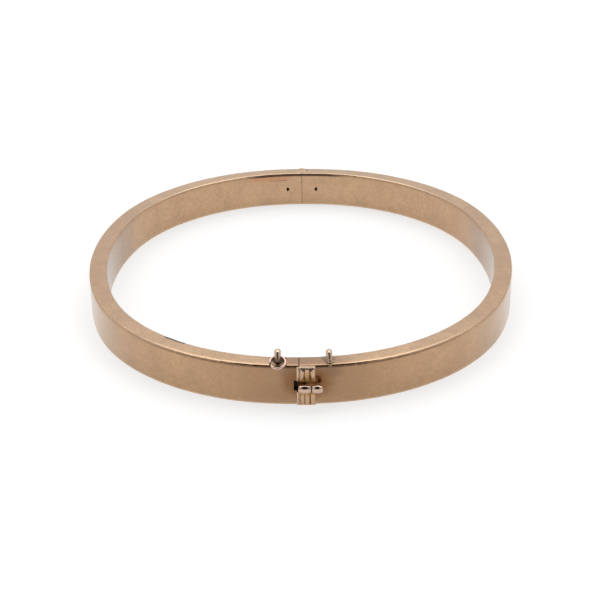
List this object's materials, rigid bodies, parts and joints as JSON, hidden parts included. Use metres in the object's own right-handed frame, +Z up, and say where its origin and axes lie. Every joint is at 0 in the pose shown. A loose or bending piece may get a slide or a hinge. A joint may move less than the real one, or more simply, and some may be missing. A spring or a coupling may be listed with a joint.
{
  "type": "hinged bangle",
  "caption": "Oval hinged bangle of hollow flat-sided gold band with a concealed back hinge, a folded tongue clasp with thumb bar, wire ears and a jump ring.",
  "frame": {"origin": "middle of the bangle's outline seen from above, thumb bar included, on the surface that it lies on; the middle of the oval itself is 0.77 mm further back", "axes": "+Z up from the surface, along the band's height; the clasp faces -Y and the hinge is at +Y; +X to the right of someone who looks at the clasp"},
  "size_m": [0.0574, 0.0644, 0.0068],
  "materials": {
    "band": "satin rose gold with fine wear and brown patina round the clasp",
    "pin": "drawn gold wire",
    "spring": "rolled spring-hard gold strip, satin",
    "thumb_bar": "rubbed bright by use",
    "ring": "bright drawn wire, pinker than the band"
  },
  "bodies": {
    "left": {"left_half": "band", "hinge_pin": "pin", "jump_ring": "ring"},
    "right": {"right_half": "band", "tongue_spring": "spring"},
    "thumb": {"thumb_piece": "thumb_bar"}
  },
  "joints": [
    {"name": "bangle_hinge", "type": "hinge", "parent": "left", "child": "right", "pos_m": [0, 0.03122, 0.00263], "axis": [0, 0, 1], "range_deg": [0, 50]},
    {"name": "thumb_press", "type": "hinge", "parent": "right", "child": "thumb", "pos_m": [-0.0055, -0.02923, 0.00263], "axis": [0, 0, 1], "range_deg": [0, 2.8], "stiffness_Nm_per_rad": 0.5}
  ]
}
